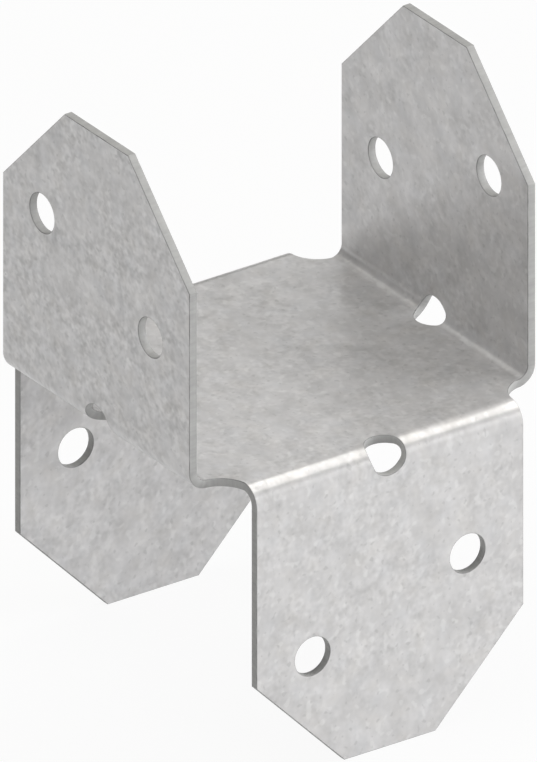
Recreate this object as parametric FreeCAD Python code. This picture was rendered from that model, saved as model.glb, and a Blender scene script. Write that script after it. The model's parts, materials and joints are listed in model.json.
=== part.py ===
import FreeCAD, Part
import math
import os

from FreeCAD import Rotation, Vector

# Timber cross connector: one blank of zinc-coated steel sheet with four folded flanges.
# The square seat plate lies level. Two flanges fold up along its Y sides and hold the upper
# timber, which runs along X. Two fold down along its X sides and hold the lower timber, which
# runs along Y. The lower pair is the upper pair mirrored through the plate and turned a quarter.
# Origin: centre of the seat plate, halfway through the sheet. Millimetres, +Z up.

# Driving dimensions
timber_width = 38.1  # dressed face of either timber
timber_clearance = 1.6  # play between a timber and its two flanges, both sides together
sheet = 0.9  # sheet thickness
fold_radius = 1.25  # inside radius of every fold
fold_neutral = 0.44  # depth of the line that keeps its length in a fold, as a share of the sheet
corner_setback = 2.6  # fold line of one flange to the side of the flange next to it
relief_radius = 3.35  # concave corner of the plate between neighbouring flanges
flange_height = 32.0  # plate face to flange tip
corner_cut_width = 10.55  # each cut corner of a flange, along the tip
corner_cut_height = 10.9  # each cut corner of a flange, up the side
nail_hole = 4.2  # punch diameter of every hole
nail_edge_distance = 6.7  # flange side to the centre of a nail hole
near_hole_height = 13.5  # plate face to the nail hole nearer the fold
far_hole_height = 19.4  # plate face to the nail hole nearer the tip
punch_overrun = 0.5  # how far a cutting tool passes each face of the sheet

# Sizes that follow
half_sheet = sheet / 2
outer_radius = fold_radius + sheet
flange_face = (timber_width + timber_clearance) / 2  # centre to a flange's inner face
fold_line = flange_face - fold_radius  # centre to where the flat plate ends and a fold starts
fold_centre = half_sheet + fold_radius  # height of a fold's centre line
half_flange = fold_line - corner_setback
half_relief = corner_setback / math.sqrt(2)  # half the straight line across a corner relief
relief_depth = relief_radius - math.sqrt(relief_radius**2 - half_relief**2)
tip_height = half_sheet + flange_height
shoulder_height = tip_height - corner_cut_height
half_tip = half_flange - corner_cut_width
nail_side = half_flange - nail_edge_distance
punch_radius = nail_hole / 2
neutral_radius = fold_radius + fold_neutral * sheet
half_fold_length = neutral_radius * math.pi / 4  # middle of a fold to its end, in the flat blank

X_AXIS = Vector(1, 0, 0)
Y_AXIS = Vector(0, 1, 0)
Z_AXIS = Vector(0, 0, 1)
CENTRE = Vector(0, 0, 0)
FOLD_ANGLE = math.pi / 2
PUNCH_STATIONS = 9  # sections that carry the punched circle round a fold


def arc(start, middle, end):
    """Edge of a circle through three points."""
    return Part.Arc(start, middle, end).toShape()


def line(start, end):
    """Straight edge between two points."""
    return Part.LineSegment(start, end).toShape()


def extruded(edges, direction):
    """Solid swept from a closed flat outline."""
    return Part.Face(Part.Wire(edges)).extrude(direction)


def on_fold(x, radius, angle):
    """Point of the +Y fold at a radius from its centre line, turned from the plate's side."""
    return Vector(x, fold_line + radius * math.sin(angle), fold_centre - radius * math.cos(angle))


def seat_plate():
    """Flat square plate, relieved by a concave arc at each corner."""
    base = -half_sheet
    relief_middle = (half_flange + fold_line) / 2 - relief_depth / math.sqrt(2)
    edges = []
    for quarter in range(4):
        turn = Rotation(Z_AXIS, 90 * quarter)
        side_start = turn * Vector(-half_flange, -fold_line, base)
        side_end = turn * Vector(half_flange, -fold_line, base)
        corner = turn * Vector(relief_middle, -relief_middle, base)
        next_side = turn * Vector(fold_line, -half_flange, base)
        edges.append(line(side_start, side_end))
        edges.append(arc(side_end, corner, next_side))
    return extruded(edges, Z_AXIS * sheet)


def fold():
    """Quarter bend from the plate's +Y side up into a flange."""
    left = -half_flange
    inside = [on_fold(left, fold_radius, FOLD_ANGLE * share) for share in (0, 0.5, 1)]
    outside = [on_fold(left, outer_radius, FOLD_ANGLE * share) for share in (1, 0.5, 0)]
    edges = [arc(*inside), line(inside[-1], outside[0]), arc(*outside), line(outside[-1], inside[0])]
    return extruded(edges, X_AXIS * 2 * half_flange)


def upright():
    """Flat part of the +Y flange: straight sides, cut corners and a level tip."""
    outline = [
        (-half_flange, fold_centre),
        (half_flange, fold_centre),
        (half_flange, shoulder_height),
        (half_tip, tip_height),
        (-half_tip, tip_height),
        (-half_flange, shoulder_height),
    ]
    points = [Vector(x, flange_face, z) for x, z in outline]
    edges = [line(start, end) for start, end in zip(points, points[1:] + points[:1])]
    return extruded(edges, Y_AXIS * sheet)


def nail_punches():
    """Tools for the two staggered nail holes of the +Y flange."""
    places = [
        (-nail_side, half_sheet + near_hole_height),
        (nail_side, half_sheet + far_hole_height),
    ]
    start = flange_face - punch_overrun
    length = sheet + 2 * punch_overrun
    return [Part.makeCylinder(punch_radius, length, Vector(x, start, z), Y_AXIS) for x, z in places]


def fold_punch():
    """Tool for the hole on the +Y fold: a circle punched in the flat blank, then carried round."""
    end_half_width = math.sqrt(punch_radius**2 - half_fold_length**2)
    inner = fold_radius - punch_overrun
    outer = outer_radius + punch_overrun
    depth = outer - inner
    past_fold = punch_radius - half_fold_length

    sections = []
    for station in range(PUNCH_STATIONS):
        share = station / (PUNCH_STATIONS - 1)
        along = half_fold_length * (2 * share - 1)
        half_width = math.sqrt(punch_radius**2 - along**2)
        angle = FOLD_ANGLE * share
        corners = [
            on_fold(-half_width, inner, angle),
            on_fold(half_width, inner, angle),
            on_fold(half_width, outer, angle),
            on_fold(-half_width, outer, angle),
        ]
        sections.append(Part.makePolygon(corners + corners[:1]))
    in_fold = Part.makeLoft(sections, True, False)

    plate_start = on_fold(-end_half_width, outer, 0)
    plate_end = on_fold(end_half_width, outer, 0)
    plate_middle = on_fold(0, outer, 0) - Y_AXIS * past_fold
    in_plate = extruded(
        [arc(plate_start, plate_middle, plate_end), line(plate_end, plate_start)], Z_AXIS * depth
    )

    flange_start = on_fold(-end_half_width, inner, FOLD_ANGLE)
    flange_end = on_fold(end_half_width, inner, FOLD_ANGLE)
    flange_middle = on_fold(0, inner, FOLD_ANGLE) + Z_AXIS * past_fold
    in_flange = extruded(
        [arc(flange_start, flange_middle, flange_end), line(flange_end, flange_start)], Y_AXIS * depth
    )
    return in_fold.fuse([in_plate, in_flange])


def all_four(shape):
    """Copies of a +Y flange's shape at the two upper and the two lower flanges."""
    lower = shape.mirror(CENTRE, Z_AXIS)
    copies = []
    for source, turns in ((shape, (0, 180)), (lower, (90, 270))):
        for turn in turns:
            copy = source.copy()
            copy.rotate(CENTRE, Z_AXIS, turn)
            copies.append(copy)
    return copies


def folded_connector():
    """The finished sheet: plate, folds and flanges in one, with every hole punched."""
    body = seat_plate()
    for piece in (fold(), upright()):
        body = body.fuse(all_four(piece))
    for tool in (*nail_punches(), fold_punch()):
        body = body.cut(all_four(tool))
    return body.removeSplitter().Solids[0]


os.makedirs("parts", exist_ok=True)
connector = folded_connector()
connector.exportStep("parts/folded_connector.step")
print(f"volume {connector.Volume:.1f} mm3, faces {len(connector.Faces)}, valid {connector.isValid()}")
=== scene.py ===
"""A folded sheet connector for two crossing timbers, coated in zinc and set in a pale studio."""

import json
import logging
import math
from collections.abc import Iterable, Mapping
from dataclasses import dataclass
from enum import Enum
from typing import Any

import bmesh
import bpy
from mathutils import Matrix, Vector


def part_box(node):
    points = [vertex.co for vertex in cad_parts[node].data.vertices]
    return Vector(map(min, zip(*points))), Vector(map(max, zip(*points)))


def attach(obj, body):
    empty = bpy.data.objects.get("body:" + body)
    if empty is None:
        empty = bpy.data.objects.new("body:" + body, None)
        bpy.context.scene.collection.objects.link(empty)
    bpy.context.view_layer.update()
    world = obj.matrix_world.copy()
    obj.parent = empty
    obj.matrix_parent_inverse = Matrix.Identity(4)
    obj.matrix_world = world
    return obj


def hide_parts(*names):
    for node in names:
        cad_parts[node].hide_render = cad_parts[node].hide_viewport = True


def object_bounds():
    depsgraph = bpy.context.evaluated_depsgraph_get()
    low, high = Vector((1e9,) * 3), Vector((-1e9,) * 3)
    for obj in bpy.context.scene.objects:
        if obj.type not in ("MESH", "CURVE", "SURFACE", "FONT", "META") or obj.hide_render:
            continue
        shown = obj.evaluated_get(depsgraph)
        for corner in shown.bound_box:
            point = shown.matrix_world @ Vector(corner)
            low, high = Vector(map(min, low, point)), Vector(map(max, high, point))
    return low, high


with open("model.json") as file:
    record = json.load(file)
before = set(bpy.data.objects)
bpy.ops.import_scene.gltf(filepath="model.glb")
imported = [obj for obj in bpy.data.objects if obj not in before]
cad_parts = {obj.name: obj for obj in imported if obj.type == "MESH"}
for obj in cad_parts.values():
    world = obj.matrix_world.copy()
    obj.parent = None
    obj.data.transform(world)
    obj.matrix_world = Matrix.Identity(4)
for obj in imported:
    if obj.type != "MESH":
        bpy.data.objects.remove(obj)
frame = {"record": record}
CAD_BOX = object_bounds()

Point = tuple[float, float]
Span = tuple[float, float]
Colour = tuple[float, float, float, float]
Tint = tuple[float, float, float]

MM = 0.001
WELD = 0.001 * MM
QUARTER_TURN = math.pi / 2
SIDES = 4
HALF = 0.5
MIDDLE = 0.5
NODE = "folded_connector"
BODY = "root"
BLANK_PLACE = "blank_place"
WHITE = (1.0, 1.0, 1.0, 1.0)
PLAIN_LIGHT = (1.0, 1.0, 1.0)
WARM_LIGHT = (1.0, 0.985, 0.945)

log = logging.getLogger("connector")


class Surface(Enum):
    """The surfaces of the sheet, in the order of their material slots."""

    COATED = 0
    SHEARED = 1
    ARRIS = 2


class Fold(Enum):
    """The half of a fold on either side of its hole."""

    LEFT = -1
    RIGHT = 1


class Term:
    """A node's output that takes part in sums: each operator adds a Math node."""

    def __init__(self, bench: "Bench", socket: bpy.types.NodeSocket) -> None:
        """Keep the bench that holds the node, and the output."""
        self.bench = bench
        self.socket = socket

    def _math(self, operation: str, *values: "Term | float") -> "Term":
        """Add a Math node.

        Args:
            operation: the Math node's operation.
            values: its inputs, in order.

        Returns:
            The node's result.
        """
        node = self.bench.add("ShaderNodeMath", {"operation": operation}, dict(enumerate(values)))
        return self.bench.term(node)

    def __add__(self, other: "Term | float") -> "Term":
        """Sum."""
        return self._math("ADD", self, other)

    def __radd__(self, other: float) -> "Term":
        """Sum with a plain number first."""
        return self._math("ADD", other, self)

    def __sub__(self, other: "Term | float") -> "Term":
        """Difference."""
        return self._math("SUBTRACT", self, other)

    def __rsub__(self, other: float) -> "Term":
        """Difference from a plain number."""
        return self._math("SUBTRACT", other, self)

    def __mul__(self, other: "Term | float") -> "Term":
        """Product."""
        return self._math("MULTIPLY", self, other)

    def __rmul__(self, other: float) -> "Term":
        """Product with a plain number first."""
        return self._math("MULTIPLY", other, self)

    def __truediv__(self, other: "Term | float") -> "Term":
        """Quotient."""
        return self._math("DIVIDE", self, other)

    def __gt__(self, other: "Term | float") -> "Term":
        """One where this is the larger, else zero."""
        return self._math("GREATER_THAN", self, other)

    def __abs__(self) -> "Term":
        """Size without the sign."""
        return self._math("ABSOLUTE", self)

    def sign(self) -> "Term":
        """One, zero or minus one."""
        return self._math("SIGN", self)

    def sine(self) -> "Term":
        """Sine of an angle in radians."""
        return self._math("SINE", self)

    def cosine(self) -> "Term":
        """Cosine of an angle in radians."""
        return self._math("COSINE", self)

    def at_least(self, other: "Term | float") -> "Term":
        """The larger of the two."""
        return self._math("MAXIMUM", self, other)

    def at_most(self, other: "Term | float") -> "Term":
        """The smaller of the two."""
        return self._math("MINIMUM", self, other)

    def ramp(self, start: float, stop: float) -> "Term":
        """Smooth rise from zero at one value to one at another."""
        settings = {"interpolation_type": "SMOOTHSTEP"}
        values = {"Value": self, "From Min": start, "From Max": stop}
        return self.bench.term(self.bench.add("ShaderNodeMapRange", settings, values))


class Bench:
    """A node tree that is being wired."""

    MIX_FACTOR = 0
    MIX_COLOURS = (6, 7)
    MIX_RESULT = 2

    def __init__(self, tree: bpy.types.NodeTree) -> None:
        """Keep the tree."""
        self.tree = tree

    def add(
        self,
        kind: str,
        settings: Mapping[str, Any] | None = None,
        values: Mapping[str | int, Any] | None = None,
    ) -> bpy.types.Node:
        """Add a node, set it up and join its inputs.

        Args:
            kind: the node's type.
            settings: the node's own properties, set before its inputs.
            values: a value, an output or a node for each input, by name or number.

        Returns:
            The new node.
        """
        node = self.tree.nodes.new(kind)
        for name, value in (settings or {}).items():
            setattr(node, name, value)
        for key, value in (values or {}).items():
            socket = node.inputs[key]
            if isinstance(value, Term):
                value = value.socket
            if isinstance(value, bpy.types.Node):
                value = value.outputs[0]
            if isinstance(value, bpy.types.NodeSocket):
                self.tree.links.new(value, socket)
            else:
                socket.default_value = value
        return node

    def term(self, node: bpy.types.Node, output: str | int = 0) -> Term:
        """An output of a node, ready for sums."""
        return Term(self, node.outputs[output])

    def mixed(self, factor: Term, first: Any, second: Any) -> bpy.types.NodeSocket:
        """Blend two colours.

        Args:
            factor: share of the second colour.
            first: a colour or an output.
            second: a colour or an output.

        Returns:
            The blended colour.
        """
        first_key, second_key = self.MIX_COLOURS
        values = {self.MIX_FACTOR: factor, first_key: first, second_key: second}
        node = self.add("ShaderNodeMix", {"data_type": "RGBA"}, values)
        return node.outputs[self.MIX_RESULT]

    def split(self, vector: Any) -> tuple[Term, Term, Term]:
        """The three parts of a vector."""
        node = self.add("ShaderNodeSeparateXYZ", values={"Vector": vector})
        return self.term(node, "X"), self.term(node, "Y"), self.term(node, "Z")

    def noise(self, place: Any, grain: float, detail: float) -> Term:
        """Cloudy noise.

        Args:
            place: coordinates in millimetres.
            grain: size of the clouds in millimetres.
            detail: how many finer layers there are.

        Returns:
            Noise about a middle of one half.
        """
        values = {"Vector": place, "Scale": 1 / grain, "Detail": detail}
        return self.term(self.add("ShaderNodeTexNoise", values=values), "Fac")


def new_material(name: str) -> tuple[bpy.types.Material, Bench, bpy.types.Node]:
    """Start a material.

    Args:
        name: the material's name.

    Returns:
        The material, a bench on its empty tree and its output node.
    """
    material = bpy.data.materials.new(name)
    material.use_nodes = True
    material.node_tree.nodes.clear()
    bench = Bench(material.node_tree)
    return material, bench, bench.add("ShaderNodeOutputMaterial")


def blank_millimetres(bench: Bench, side_spread: float) -> bpy.types.Node:
    """Places on the flat blank, so that a pattern runs on round the folds.

    Args:
        bench: the material's bench.
        side_spread: how far apart the two sides of the sheet lie in the pattern.

    Returns:
        A node that gives millimetres.
    """
    place = bench.add("ShaderNodeAttribute", {"attribute_name": BLANK_PLACE}).outputs["Vector"]
    scale = (1 / MM, 1 / MM, side_spread / MM)
    return bench.add("ShaderNodeVectorMath", {"operation": "MULTIPLY"}, {0: place, 1: scale})


@dataclass(frozen=True)
class Mottle:
    """A layer of cloudy tone: the size of its clouds in millimetres, their finer layers, its strength."""

    grain: float
    detail: float
    weight: float = 1.0

    def spread(self, bench: Bench, place: Any, span: Span) -> Term:
        """Share of the layer: a smooth rise across a span of its noise."""
        return bench.noise(place, self.grain, self.detail).ramp(*span) * self.weight

    def tone(self, bench: Bench, place: Any) -> Term:
        """How far the layer lifts or lowers a tone."""
        return (bench.noise(place, self.grain, self.detail) - MIDDLE) * self.weight


@dataclass(frozen=True)
class ZincCoat:
    """Hot-dip zinc: a matt grey mottle of small crystals, livelier in places, with flecks and specks."""

    name: str = "galvanised_zinc"
    dark: Colour = (0.378, 0.374, 0.374, 1.0)
    light: Colour = (0.738, 0.73, 0.732, 1.0)
    warm: Colour = (0.66, 0.62, 0.56, 1.0)
    cool: Colour = (0.57, 0.6, 0.65, 1.0)
    fleck: Colour = (0.8, 0.8, 0.795, 1.0)
    speck: Colour = (0.34, 0.34, 0.34, 1.0)
    metallic: float = 0.42
    roughness: float = 0.32
    side_spread: float = 40.0
    clouds: Mottle = Mottle(3.0, 2.0, 0.75)
    crystals: Mottle = Mottle(0.95, 1.2, 0.2)
    crystal_span: Span = (0.32, 0.68)
    grains: Mottle = Mottle(0.45, 0.0, 0.25)
    patches: Mottle = Mottle(5.0, 1.0, 0.55)
    lively: Span = (0.38, 0.62)
    front_life: float = 0.8
    front_span: Span = (-8.0, -28.0)
    warm_tints: Mottle = Mottle(2.6, 1.0, 0.1)
    warm_span: Span = (0.5, 0.75)
    cool_tints: Mottle = Mottle(2.6, 1.0, 0.1)
    cool_span: Span = (0.5, 0.25)
    flecks: Mottle = Mottle(0.85, 0.5, 0.22)
    fleck_span: Span = (0.6, 0.72)
    specks: Mottle = Mottle(0.62, 0.5, 0.34)
    speck_span: Span = (0.66, 0.76)
    polish: float = 0.12
    relief: float = 0.005
    relief_strength: float = 0.2

    def material(self) -> bpy.types.Material:
        """The finish as a material."""
        material, bench, output = new_material(self.name)
        place = blank_millimetres(bench, self.side_spread)
        clouds = self.clouds.tone(bench, place)
        crystals = self.crystals.spread(bench, place, self.crystal_span) - self.crystals.weight / 2
        crystals = (crystals + self.grains.tone(bench, place)) * self.life(bench, place)
        bump = bench.add(
            "ShaderNodeBump",
            values={
                "Strength": self.relief_strength,
                "Distance": self.relief * MM,
                "Height": crystals,
            },
        )
        shader = bench.add(
            "ShaderNodeBsdfPrincipled",
            values={
                "Base Color": self.colour(bench, place, MIDDLE + clouds + crystals),
                "Metallic": self.metallic,
                "Roughness": self.roughness - (clouds + crystals) * self.polish,
                "Normal": bump,
            },
        )
        bench.tree.links.new(shader.outputs[0], output.inputs["Surface"])
        return material

    def life(self, bench: Bench, place: Any) -> Term:
        """How strongly the crystals show: in patches, and more towards the front of the sheet.

        Args:
            bench: the material's bench.
            place: coordinates in millimetres.

        Returns:
            A factor for the crystals' tone.
        """
        patches = self.patches.spread(bench, place, self.lively) + (1 - self.patches.weight)
        front = bench.split(place)[1].ramp(*self.front_span)
        return patches * (1 + front * self.front_life)

    def colour(self, bench: Bench, place: Any, tone: Term) -> bpy.types.NodeSocket:
        """Colour of the coat: its mottle, faint tints, bright flecks and sparse dull specks.

        Args:
            bench: the material's bench.
            place: coordinates in millimetres.
            tone: the mottle, from dark to light.

        Returns:
            The colour.
        """
        colour = bench.mixed(tone, self.dark, self.light)
        warmth = self.warm_tints.spread(bench, place, self.warm_span)
        colour = bench.mixed(warmth, colour, self.warm)
        coolness = self.cool_tints.spread(bench, place, self.cool_span)
        colour = bench.mixed(coolness, colour, self.cool)
        brightness = self.flecks.spread(bench, place, self.fleck_span)
        colour = bench.mixed(brightness, colour, self.fleck)
        dullness = self.specks.spread(bench, place, self.speck_span)
        return bench.mixed(dullness, colour, self.speck)


@dataclass(frozen=True)
class ShearedSteel:
    """Bare steel where the sheet was cut: fine streaks across the sheet, in brighter and duller lengths."""

    name: str = "sheared_steel"
    dull: Colour = (0.24, 0.24, 0.238, 1.0)
    bright: Colour = (0.44, 0.44, 0.435, 1.0)
    metallic: float = 0.05
    roughness: float = 0.55
    streaks: Mottle = Mottle(0.35, 2.0, 0.5)
    lengths: Mottle = Mottle(1.6, 2.0, 0.5)
    stretch: tuple[float, float, float] = (1.0, 1.0, 0.15)
    polish: float = 0.3

    def material(self) -> bpy.types.Material:
        """The finish as a material."""
        material, bench, output = new_material(self.name)
        place = blank_millimetres(bench, 1.0)
        stretched = bench.add(
            "ShaderNodeVectorMath", {"operation": "MULTIPLY"}, {0: place, 1: self.stretch}
        )
        streaks = self.streaks.tone(bench, stretched)
        lengths = self.lengths.tone(bench, place)
        shader = bench.add(
            "ShaderNodeBsdfPrincipled",
            values={
                "Base Color": bench.mixed(MIDDLE + streaks + lengths, self.dull, self.bright),
                "Metallic": self.metallic,
                "Roughness": self.roughness - streaks * self.polish,
            },
        )
        bench.tree.links.new(shader.outputs[0], output.inputs["Surface"])
        return material


@dataclass(frozen=True)
class ArrisShadeLine:
    """The thin broken edge between the coat and the cut, coloured dark: a painted shade line along every
    edge, with a faint mottle.
    """

    name: str = "worn_arris"
    # dark and light are painted shade: the bevel's colour stands in for the shade line along each edge
    dark: Colour = (0.18, 0.18, 0.18, 1.0)
    light: Colour = (0.36, 0.36, 0.355, 1.0)
    metallic: float = 0.2
    roughness: float = 0.5
    line_mottle: Mottle = Mottle(1.3, 3.0, 2.0)
    polish: float = 0.1

    def material(self) -> bpy.types.Material:
        """The finish as a material."""
        material, bench, output = new_material(self.name)
        line_mottle = self.line_mottle.tone(bench, blank_millimetres(bench, 1.0))
        shader = bench.add(
            "ShaderNodeBsdfPrincipled",
            values={
                "Base Color": bench.mixed(MIDDLE + line_mottle, self.dark, self.light),
                "Metallic": self.metallic,
                "Roughness": self.roughness - line_mottle * self.polish,
            },
        )
        bench.tree.links.new(shader.outputs[0], output.inputs["Surface"])
        return material


def seen_directly(bench: Bench) -> Term:
    """One for rays that show a background: from the camera, off metal or through glass."""
    path = bench.add("ShaderNodeLightPath")
    camera = bench.term(path, "Is Camera Ray")
    glossy = bench.term(path, "Is Glossy Ray")
    return camera.at_least(glossy).at_least(bench.term(path, "Is Transmission Ray"))


@dataclass(frozen=True)
class StudioFloor:
    """White paper: it reads as white, and keeps a soft shadow."""

    name: str = "studio_paper"
    colour: Colour = (0.65, 0.65, 0.65, 1.0)
    white_share: float = 0.93

    def material(self) -> bpy.types.Material:
        """The finish as a material."""
        material, bench, output = new_material(self.name)
        paper = bench.add("ShaderNodeBsdfDiffuse", values={"Color": self.colour})
        white = bench.add("ShaderNodeEmission", values={"Color": WHITE, "Strength": 1.0})
        values = {0: seen_directly(bench) * self.white_share, 1: paper, 2: white}
        surface = bench.add("ShaderNodeMixShader", values=values)
        bench.tree.links.new(surface.outputs[0], output.inputs["Surface"])
        return material


def arc_points(centre: Point, radius: float, start: float, stop: float, steps: int) -> list[Point]:
    """Points along a circle.

    Args:
        centre: middle of the circle.
        radius: its radius.
        start: angle of the first point, in radians.
        stop: angle of the last point.
        steps: how many chords lie between them.

    Returns:
        The points, both ends included.
    """
    angles = [start + (stop - start) * step / steps for step in range(steps + 1)]
    return [(centre[0] + radius * math.cos(a), centre[1] + radius * math.sin(a)) for a in angles]


def mirrored(points: Iterable[Point]) -> list[Point]:
    """The same points on the other side of the middle line, in reverse order."""
    return [(-u, v) for u, v in reversed(list(points))]


@dataclass
class FoldedConnector:
    """The sheet: a flat blank with its holes punched, then folded up on two sides and down on two.

    The blank is laid out in (u, v). A quarter of it, one flange with its share of the plate, is
    drawn along +v, and the other three are turned copies.
    """

    sheet: float
    flange_face: float
    tip_height: float
    nail_radius: float
    near_nail: Point
    far_nail: Point
    fold_radius: float = 1.25 * MM
    neutral_depth: float = 0.44
    corner_setback: float = 2.6 * MM
    relief_radius: float = 3.35 * MM
    corner_cut_width: float = 10.55 * MM
    corner_cut_height: float = 10.9 * MM
    arris: float = 0.07 * MM
    arris_steps: int = 2
    fold_steps: int = 18
    rim_steps: int = 26
    relief_steps: int = 10
    nail_steps: int = 40
    corner_angle: float = math.radians(25)
    face_angle: float = math.radians(60)

    @classmethod
    def from_record(cls, record: Mapping[str, Any]) -> "FoldedConnector":
        """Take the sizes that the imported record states.

        Args:
            record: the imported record.

        Returns:
            A connector of those sizes.
        """
        mounts = {mount["name"]: mount for mount in record["mounts"]}
        near = mounts["back_upper_near_nail"]
        far = mounts["back_upper_far_nail"]
        return cls(
            sheet=2 * mounts["upper_seat"]["pos_m"][2],
            flange_face=mounts["back_upper_cheek"]["pos_m"][1],
            tip_height=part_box(NODE)[1].z,
            nail_radius=near["dims"]["r_mm"] * MM,
            near_nail=(near["pos_m"][0], near["pos_m"][2]),
            far_nail=(far["pos_m"][0], far["pos_m"][2]),
        )

    @property
    def fold_line(self) -> float:
        """Centre of the plate to where a fold starts."""
        return self.flange_face - self.fold_radius

    @property
    def half_flange(self) -> float:
        """Middle of a flange to its side."""
        return self.fold_line - self.corner_setback

    @property
    def fold_length(self) -> float:
        """Length of a fold in the flat blank."""
        return (self.fold_radius + self.neutral_depth * self.sheet) * QUARTER_TURN

    @property
    def flange_line(self) -> float:
        """Centre of the plate to where a fold ends, in the flat blank."""
        return self.fold_line + self.fold_length

    @property
    def fold_hole(self) -> Point:
        """Middle of the hole punched on a fold."""
        return 0.0, self.fold_line + self.fold_length / 2

    @property
    def rim_angle(self) -> float:
        """Angle on the fold hole's rim between its widest point and an end of the fold."""
        return math.asin(self.fold_length / 2 / self.nail_radius)

    def laid_flat(self, height: float) -> float:
        """Where a height on a flange lies in the flat blank."""
        return self.flange_line + height - self.sheet / 2 - self.fold_radius

    def fold_row(self, v: float) -> list[Point]:
        """Points across the right half of a fold, from the flange's side to the hole's rim."""
        rim = math.sqrt(self.nail_radius**2 - (v - self.fold_hole[1]) ** 2)
        return [(u, v) for u in (self.half_flange, self.far_nail[0], rim)]

    def plate_sector(self) -> list[Point]:
        """Outline of a quarter of the plate, with half a relief at each corner."""
        half_chord = self.corner_setback / math.sqrt(2)
        back = math.sqrt(self.relief_radius**2 - half_chord**2)
        middle = (self.half_flange + self.fold_line) / 2 + back / math.sqrt(2)
        diagonal = math.radians(225)
        swing = math.asin(half_chord / self.relief_radius)
        relief = arc_points(
            (middle, middle), self.relief_radius, diagonal, diagonal - swing, self.relief_steps
        )
        right = relief[:-1] + self.fold_row(self.fold_line)
        rim = arc_points(
            self.fold_hole,
            self.nail_radius,
            -self.rim_angle,
            self.rim_angle - math.pi,
            self.rim_steps,
        )
        return [(0.0, 0.0), *right, *rim[1:-1], *mirrored(right)]

    def fold_quads(self, half: Fold) -> list[list[Point]]:
        """Narrow faces that bend into one half of a fold.

        Args:
            half: the side of the fold's hole that they lie on.

        Returns:
            The outline of each face.
        """
        stations = [
            self.fold_line + self.fold_length * step / self.fold_steps
            for step in range(self.fold_steps + 1)
        ]
        rows = [self.fold_row(v) for v in stations]
        quads = []
        for lower, upper in zip(rows, rows[1:]):
            for outer in range(len(lower) - 1):
                quad = [lower[outer + 1], lower[outer], upper[outer], upper[outer + 1]]
                quads.append(quad if half is Fold.RIGHT else mirrored(quad))
        return quads

    def half_rim(self, centre: Point, angles: Span) -> list[Point]:
        """Half the rim of a nail hole, between two angles."""
        return arc_points(centre, self.nail_radius, *angles, self.nail_steps)

    def flange_strips(self) -> list[list[Point]]:
        """Outlines of a flange in three strips, parted at the lines of its two nail holes."""
        base = self.flange_line
        tip = self.laid_flat(self.tip_height)
        shoulder = tip - self.corner_cut_height
        side = self.half_flange
        nail = self.far_nail[0]
        half_tip = side - self.corner_cut_width
        cut = shoulder + (side - nail) * self.corner_cut_height / self.corner_cut_width
        near = (self.near_nail[0], self.laid_flat(self.near_nail[1]))
        far = (self.far_nail[0], self.laid_flat(self.far_nail[1]))
        down = (QUARTER_TURN, -QUARTER_TURN)
        up = (-QUARTER_TURN, -3 * QUARTER_TURN)
        rim = arc_points(
            self.fold_hole,
            self.nail_radius,
            math.pi - self.rim_angle,
            self.rim_angle,
            self.rim_steps,
        )
        right = [(nail, base), (side, base), (side, shoulder), (nail, cut), *self.half_rim(far, down)]
        left = [(-side, base), (-nail, base), *self.half_rim(near, up), (-nail, cut), (-side, shoulder)]
        middle = [(-nail, base), *rim, (nail, base), *self.half_rim(far, up), (nail, cut)]
        middle += [(half_tip, tip), (-half_tip, tip), (-nail, cut), *self.half_rim(near, down)]
        return [right, left, middle]

    def quarter_blank(self) -> bpy.types.Mesh:
        """One flange and its share of the plate, flat."""
        outlines = [self.plate_sector(), *self.flange_strips()]
        for half in Fold:
            outlines += self.fold_quads(half)
        sheet = bmesh.new()
        for outline in outlines:
            sheet.faces.new([sheet.verts.new((u, v, 0.0)) for u, v in outline])
        bmesh.ops.remove_doubles(sheet, verts=sheet.verts, dist=WELD)
        mesh = bpy.data.meshes.new("quarter_blank")
        sheet.to_mesh(mesh)
        sheet.free()
        return mesh

    def folding_tree(self) -> tuple[bpy.types.NodeTree, dict[str, str]]:
        """The rule that turns a quarter of the blank into the folded sheet.

        Returns:
            The tree, and the identifier of each of its inputs by name.
        """
        tree = bpy.data.node_groups.new("fold_sheet", "GeometryNodeTree")
        tree.is_modifier = True
        face = tree.interface
        face.new_socket("Sheet Metal", in_out="OUTPUT", socket_type="NodeSocketGeometry")
        face.new_socket("Quarter Blank", in_out="INPUT", socket_type="NodeSocketGeometry")
        names = {}
        for name in ("Sheet", "Fold Line", "Fold Radius", "Fold Length"):
            socket = face.new_socket(name, in_out="INPUT", socket_type="NodeSocketFloat")
            names[name] = socket.identifier
        for name in ("Coat", "Cut"):
            socket = face.new_socket(name, in_out="INPUT", socket_type="NodeSocketMaterial")
            names[name] = socket.identifier

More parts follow.
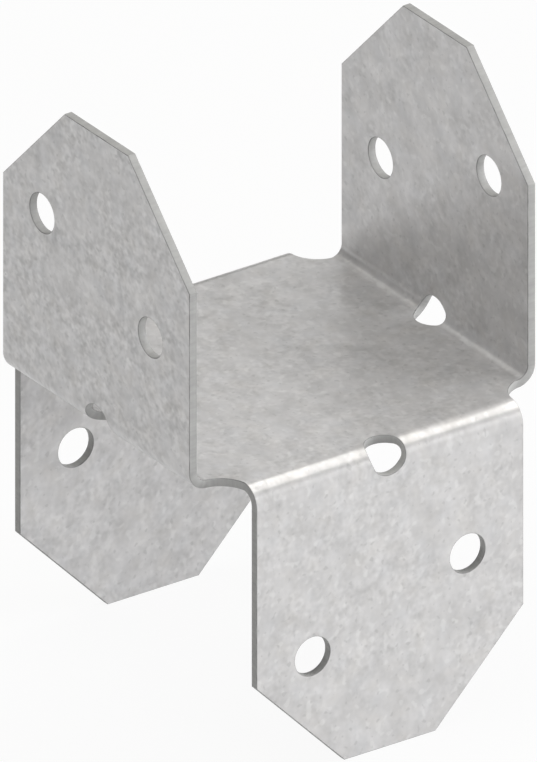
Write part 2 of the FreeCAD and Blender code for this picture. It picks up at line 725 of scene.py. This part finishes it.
        bench = Bench(tree)
        given = bench.add("NodeGroupInput").outputs
        sheet = Term(bench, given["Sheet"])
        index = bench.term(bench.add("GeometryNodeInputIndex"))
        turn = bench.add("ShaderNodeCombineXYZ", values={"Z": index * QUARTER_TURN})
        spots = bench.add("GeometryNodePoints", values={"Count": SIDES})
        quarters = bench.add(
            "GeometryNodeInstanceOnPoints",
            values={"Points": spots, "Instance": given["Quarter Blank"], "Rotation": turn},
        )
        joined = bench.add("GeometryNodeRealizeInstances", values={"Geometry": quarters})
        blank = bench.add("GeometryNodeMergeByDistance", values={"Geometry": joined, "Distance": WELD})
        down = bench.add("ShaderNodeCombineXYZ", values={"Z": sheet * -HALF})
        lower = bench.add("GeometryNodeSetPosition", values={"Geometry": blank, "Offset": down})
        raised = bench.add(
            "GeometryNodeExtrudeMesh",
            {"mode": "FACES"},
            {"Mesh": lower, "Offset": (0.0, 0.0, 1.0), "Offset Scale": sheet, "Individual": False},
        )
        underside = bench.add("GeometryNodeFlipFaces", values={"Mesh": lower})
        shell = bench.add("GeometryNodeJoinGeometry", values={"Geometry": raised})
        tree.links.new(underside.outputs[0], shell.inputs["Geometry"])
        closed = bench.add("GeometryNodeMergeByDistance", values={"Geometry": shell, "Distance": WELD})
        marked = bench.add(
            "GeometryNodeStoreNamedAttribute",
            {"data_type": "FLOAT_VECTOR", "domain": "POINT"},
            {"Geometry": closed, "Name": BLANK_PLACE, "Value": bench.add("GeometryNodeInputPosition")},
        )
        folded = bench.add(
            "GeometryNodeSetPosition",
            values={"Geometry": marked, "Position": self.folded_place(bench, given)},
        )
        smooth = bench.add("GeometryNodeSetShadeSmooth", values={"Geometry": folded})
        coated = bench.add(
            "GeometryNodeSetMaterial", values={"Geometry": smooth, "Material": given["Coat"]}
        )
        cut = bench.add(
            "GeometryNodeSetMaterial",
            values={"Geometry": coated, "Selection": raised.outputs["Side"], "Material": given["Cut"]},
        )
        bench.add("NodeGroupOutput", values={0: cut})
        return tree, names

    def folded_place(self, bench: Bench, given: Any) -> bpy.types.Node:
        """Where a point of the thick flat blank lies once the flanges are folded.

        Args:
            bench: the folding tree's bench.
            given: the outputs of the tree's input node.

        Returns:
            A node that gives the place.
        """
        sheet, line, radius, length = (
            Term(bench, given[name]) for name in ("Sheet", "Fold Line", "Fold Radius", "Fold Length")
        )
        u, v, depth = bench.split(bench.add("GeometryNodeInputPosition"))
        stands = abs(v) > abs(u)
        hangs = 1 - stands
        way = stands - hangs
        reach = abs(v).at_least(abs(u))
        past = reach - line
        angle = (past / length).at_least(0.0).at_most(1.0) * QUARTER_TURN
        centre = sheet * HALF + radius
        ring = centre - way * depth
        outward = reach.at_most(line) + ring * angle.sine()
        height = way * (centre - ring * angle.cosine() + (past - length).at_least(0.0))
        values = {
            "X": stands * u + hangs * u.sign() * outward,
            "Y": hangs * v + stands * v.sign() * outward,
            "Z": height,
        }
        return bench.add("ShaderNodeCombineXYZ", values=values)

    def build(self, finishes: Mapping[Surface, bpy.types.Material]) -> bpy.types.Object:
        """Make the folded sheet as a plain mesh.

        Args:
            finishes: the material of each surface.

        Returns:
            The piece, at the origin.
        """
        mesh = self.quarter_blank()
        for surface in Surface:
            mesh.materials.append(finishes[surface])
        piece = bpy.data.objects.new("connector_sheet", mesh)
        bpy.context.scene.collection.objects.link(piece)
        tree, names = self.folding_tree()
        folding = piece.modifiers.new("fold", "NODES")
        folding.node_group = tree
        sizes = {
            "Sheet": self.sheet,
            "Fold Line": self.fold_line,
            "Fold Radius": self.fold_radius,
            "Fold Length": self.fold_length,
            "Coat": finishes[Surface.COATED],
            "Cut": finishes[Surface.SHEARED],
        }
        for name, value in sizes.items():
            folding[names[name]] = value
        broken = piece.modifiers.new("arris", "BEVEL")
        broken.width = self.arris
        broken.segments = self.arris_steps
        broken.limit_method = "ANGLE"
        broken.angle_limit = self.face_angle
        # the bevel faces carry the painted shade line along each edge
        broken.material = Surface.ARRIS.value
        self.settle(piece)
        piece.data.set_sharp_from_angle(angle=self.corner_angle)
        flats = piece.modifiers.new("flats", "WEIGHTED_NORMAL")
        flats.keep_sharp = True
        self.settle(piece)
        return piece

    @staticmethod
    def settle(piece: bpy.types.Object) -> None:
        """Turn what the modifiers make into the piece's own mesh."""
        depsgraph = bpy.context.evaluated_depsgraph_get()
        mesh = bpy.data.meshes.new_from_object(
            piece.evaluated_get(depsgraph), preserve_all_data_layers=True, depsgraph=depsgraph
        )
        piece.modifiers.clear()
        piece.data = mesh

    def dress(self, piece: bpy.types.Object) -> None:
        """Put the piece in place of its CAD node."""
        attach(piece, BODY)
        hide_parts(NODE)


@dataclass(frozen=True)
class PhotoCamera:
    """A long lens square to the picture, which sees without perspective."""

    azimuth: float = math.radians(55.038)
    elevation: float = math.radians(27.329)
    pixels_per_mm: float = 10.1723
    frame_height: int = 762
    right_of_middle: float = 0.64
    above_middle: float = 8.33
    distance: float = 0.4

    def place(self) -> bpy.types.Object:
        """Make the scene's camera."""
        sine, cosine = math.sin(self.azimuth), math.cos(self.azimuth)
        level, rise = math.cos(self.elevation), math.sin(self.elevation)
        back = Vector((sine * level, -cosine * level, rise))
        right = Vector((cosine, sine, 0.0))
        up = back.cross(right)
        aim = -(right * self.right_of_middle + up * self.above_middle) * MM / self.pixels_per_mm
        data = bpy.data.cameras.new("photo_camera")
        data.type = "ORTHO"
        data.ortho_scale = self.frame_height / self.pixels_per_mm * MM
        camera = bpy.data.objects.new("photo_camera", data)
        camera.location = aim + back * self.distance
        camera.rotation_euler = (-back).to_track_quat("-Z", "Y").to_euler()
        bpy.context.scene.collection.objects.link(camera)
        bpy.context.scene.camera = camera
        return camera


@dataclass(frozen=True)
class Softbox:
    """A rectangular lamp behind cloth, aimed at the middle of the object."""

    name: str
    place: tuple[float, float, float]
    size: tuple[float, float]
    radiance: float
    tint: Tint = PLAIN_LIGHT

    def hang(self) -> bpy.types.Object:
        """Make the lamp."""
        data = bpy.data.lights.new(self.name, "AREA")
        data.shape = "RECTANGLE"
        data.size, data.size_y = self.size
        data.color = self.tint
        data.energy = self.radiance * math.pi * self.size[0] * self.size[1]
        lamp = bpy.data.objects.new(self.name, data)
        lamp.location = self.place
        lamp.rotation_euler = (-Vector(self.place)).to_track_quat("-Z", "Y").to_euler()
        lamp.visible_camera = False
        bpy.context.scene.collection.objects.link(lamp)
        return lamp


@dataclass(frozen=True)
class Studio:
    """A plain studio: paper floor, dim grey room and soft lamps."""

    floor_height: float
    floor_half: float = 4.0
    room_level: float = 0.1
    lamps: tuple[Softbox, ...] = (
        Softbox("overhead_softbox", (-0.06, -0.08, 0.5), (0.56, 0.56), 2.1, WARM_LIGHT),
        Softbox("back_strip", (0.0, 0.34, 0.5), (0.5, 0.16), 3.5, WARM_LIGHT),
        Softbox("right_back_softbox", (0.28, 0.55, 0.14), (0.44, 0.36), 7.6),
        Softbox("right_softbox", (0.6, -0.08, 0.2), (0.6, 0.36), 2.3),
        Softbox("left_back_softbox", (-0.5, 0.35, 0.36), (0.4, 0.2), 0.9),
        Softbox("front_low_softbox", (0.35, -0.5, 0.06), (0.4, 0.16), 1.2),
    )

    def set_up(self, finish: StudioFloor) -> None:
        """Make the floor, the room and the lamps.

        Args:
            finish: the floor's finish.
        """
        corners = [(-1, -1), (1, -1), (1, 1), (-1, 1)]
        mesh = bpy.data.meshes.new("paper_floor")
        points = [(x * self.floor_half, y * self.floor_half, self.floor_height) for x, y in corners]
        mesh.from_pydata(points, [], [range(len(points))])
        mesh.materials.append(finish.material())
        floor = bpy.data.objects.new("paper_floor", mesh)
        bpy.context.scene.collection.objects.link(floor)
        self.paint_room()
        for lamp in self.lamps:
            lamp.hang()
            log.info("lamp %s", lamp.name)

    def paint_room(self) -> None:
        """Surround the set with an even grey."""
        world = bpy.data.worlds.new("grey_room")
        world.use_nodes = True
        world.node_tree.nodes.clear()
        bench = Bench(world.node_tree)
        values = {"Color": WHITE, "Strength": self.room_level}
        grey = bench.add("ShaderNodeBackground", values=values)
        bench.add("ShaderNodeOutputWorld", values={"Surface": grey})
        bpy.context.scene.world = world


def main() -> None:
    """Build the connector, its studio and the camera."""
    logging.basicConfig(level=logging.INFO, format="%(name)s: %(message)s")
    bpy.context.scene.view_settings.view_transform = "Standard"
    finishes = {
        Surface.COATED: ZincCoat().material(),
        Surface.SHEARED: ShearedSteel().material(),
        Surface.ARRIS: ArrisShadeLine().material(),
    }
    connector = FoldedConnector.from_record(frame["record"])
    piece = connector.build(finishes)
    connector.dress(piece)
    log.info("piece %s: %d faces", piece.name, len(piece.data.polygons))
    Studio(floor_height=CAD_BOX[0].z).set_up(StudioFloor())
    PhotoCamera().place()


if __name__ == "__main__":
    main()
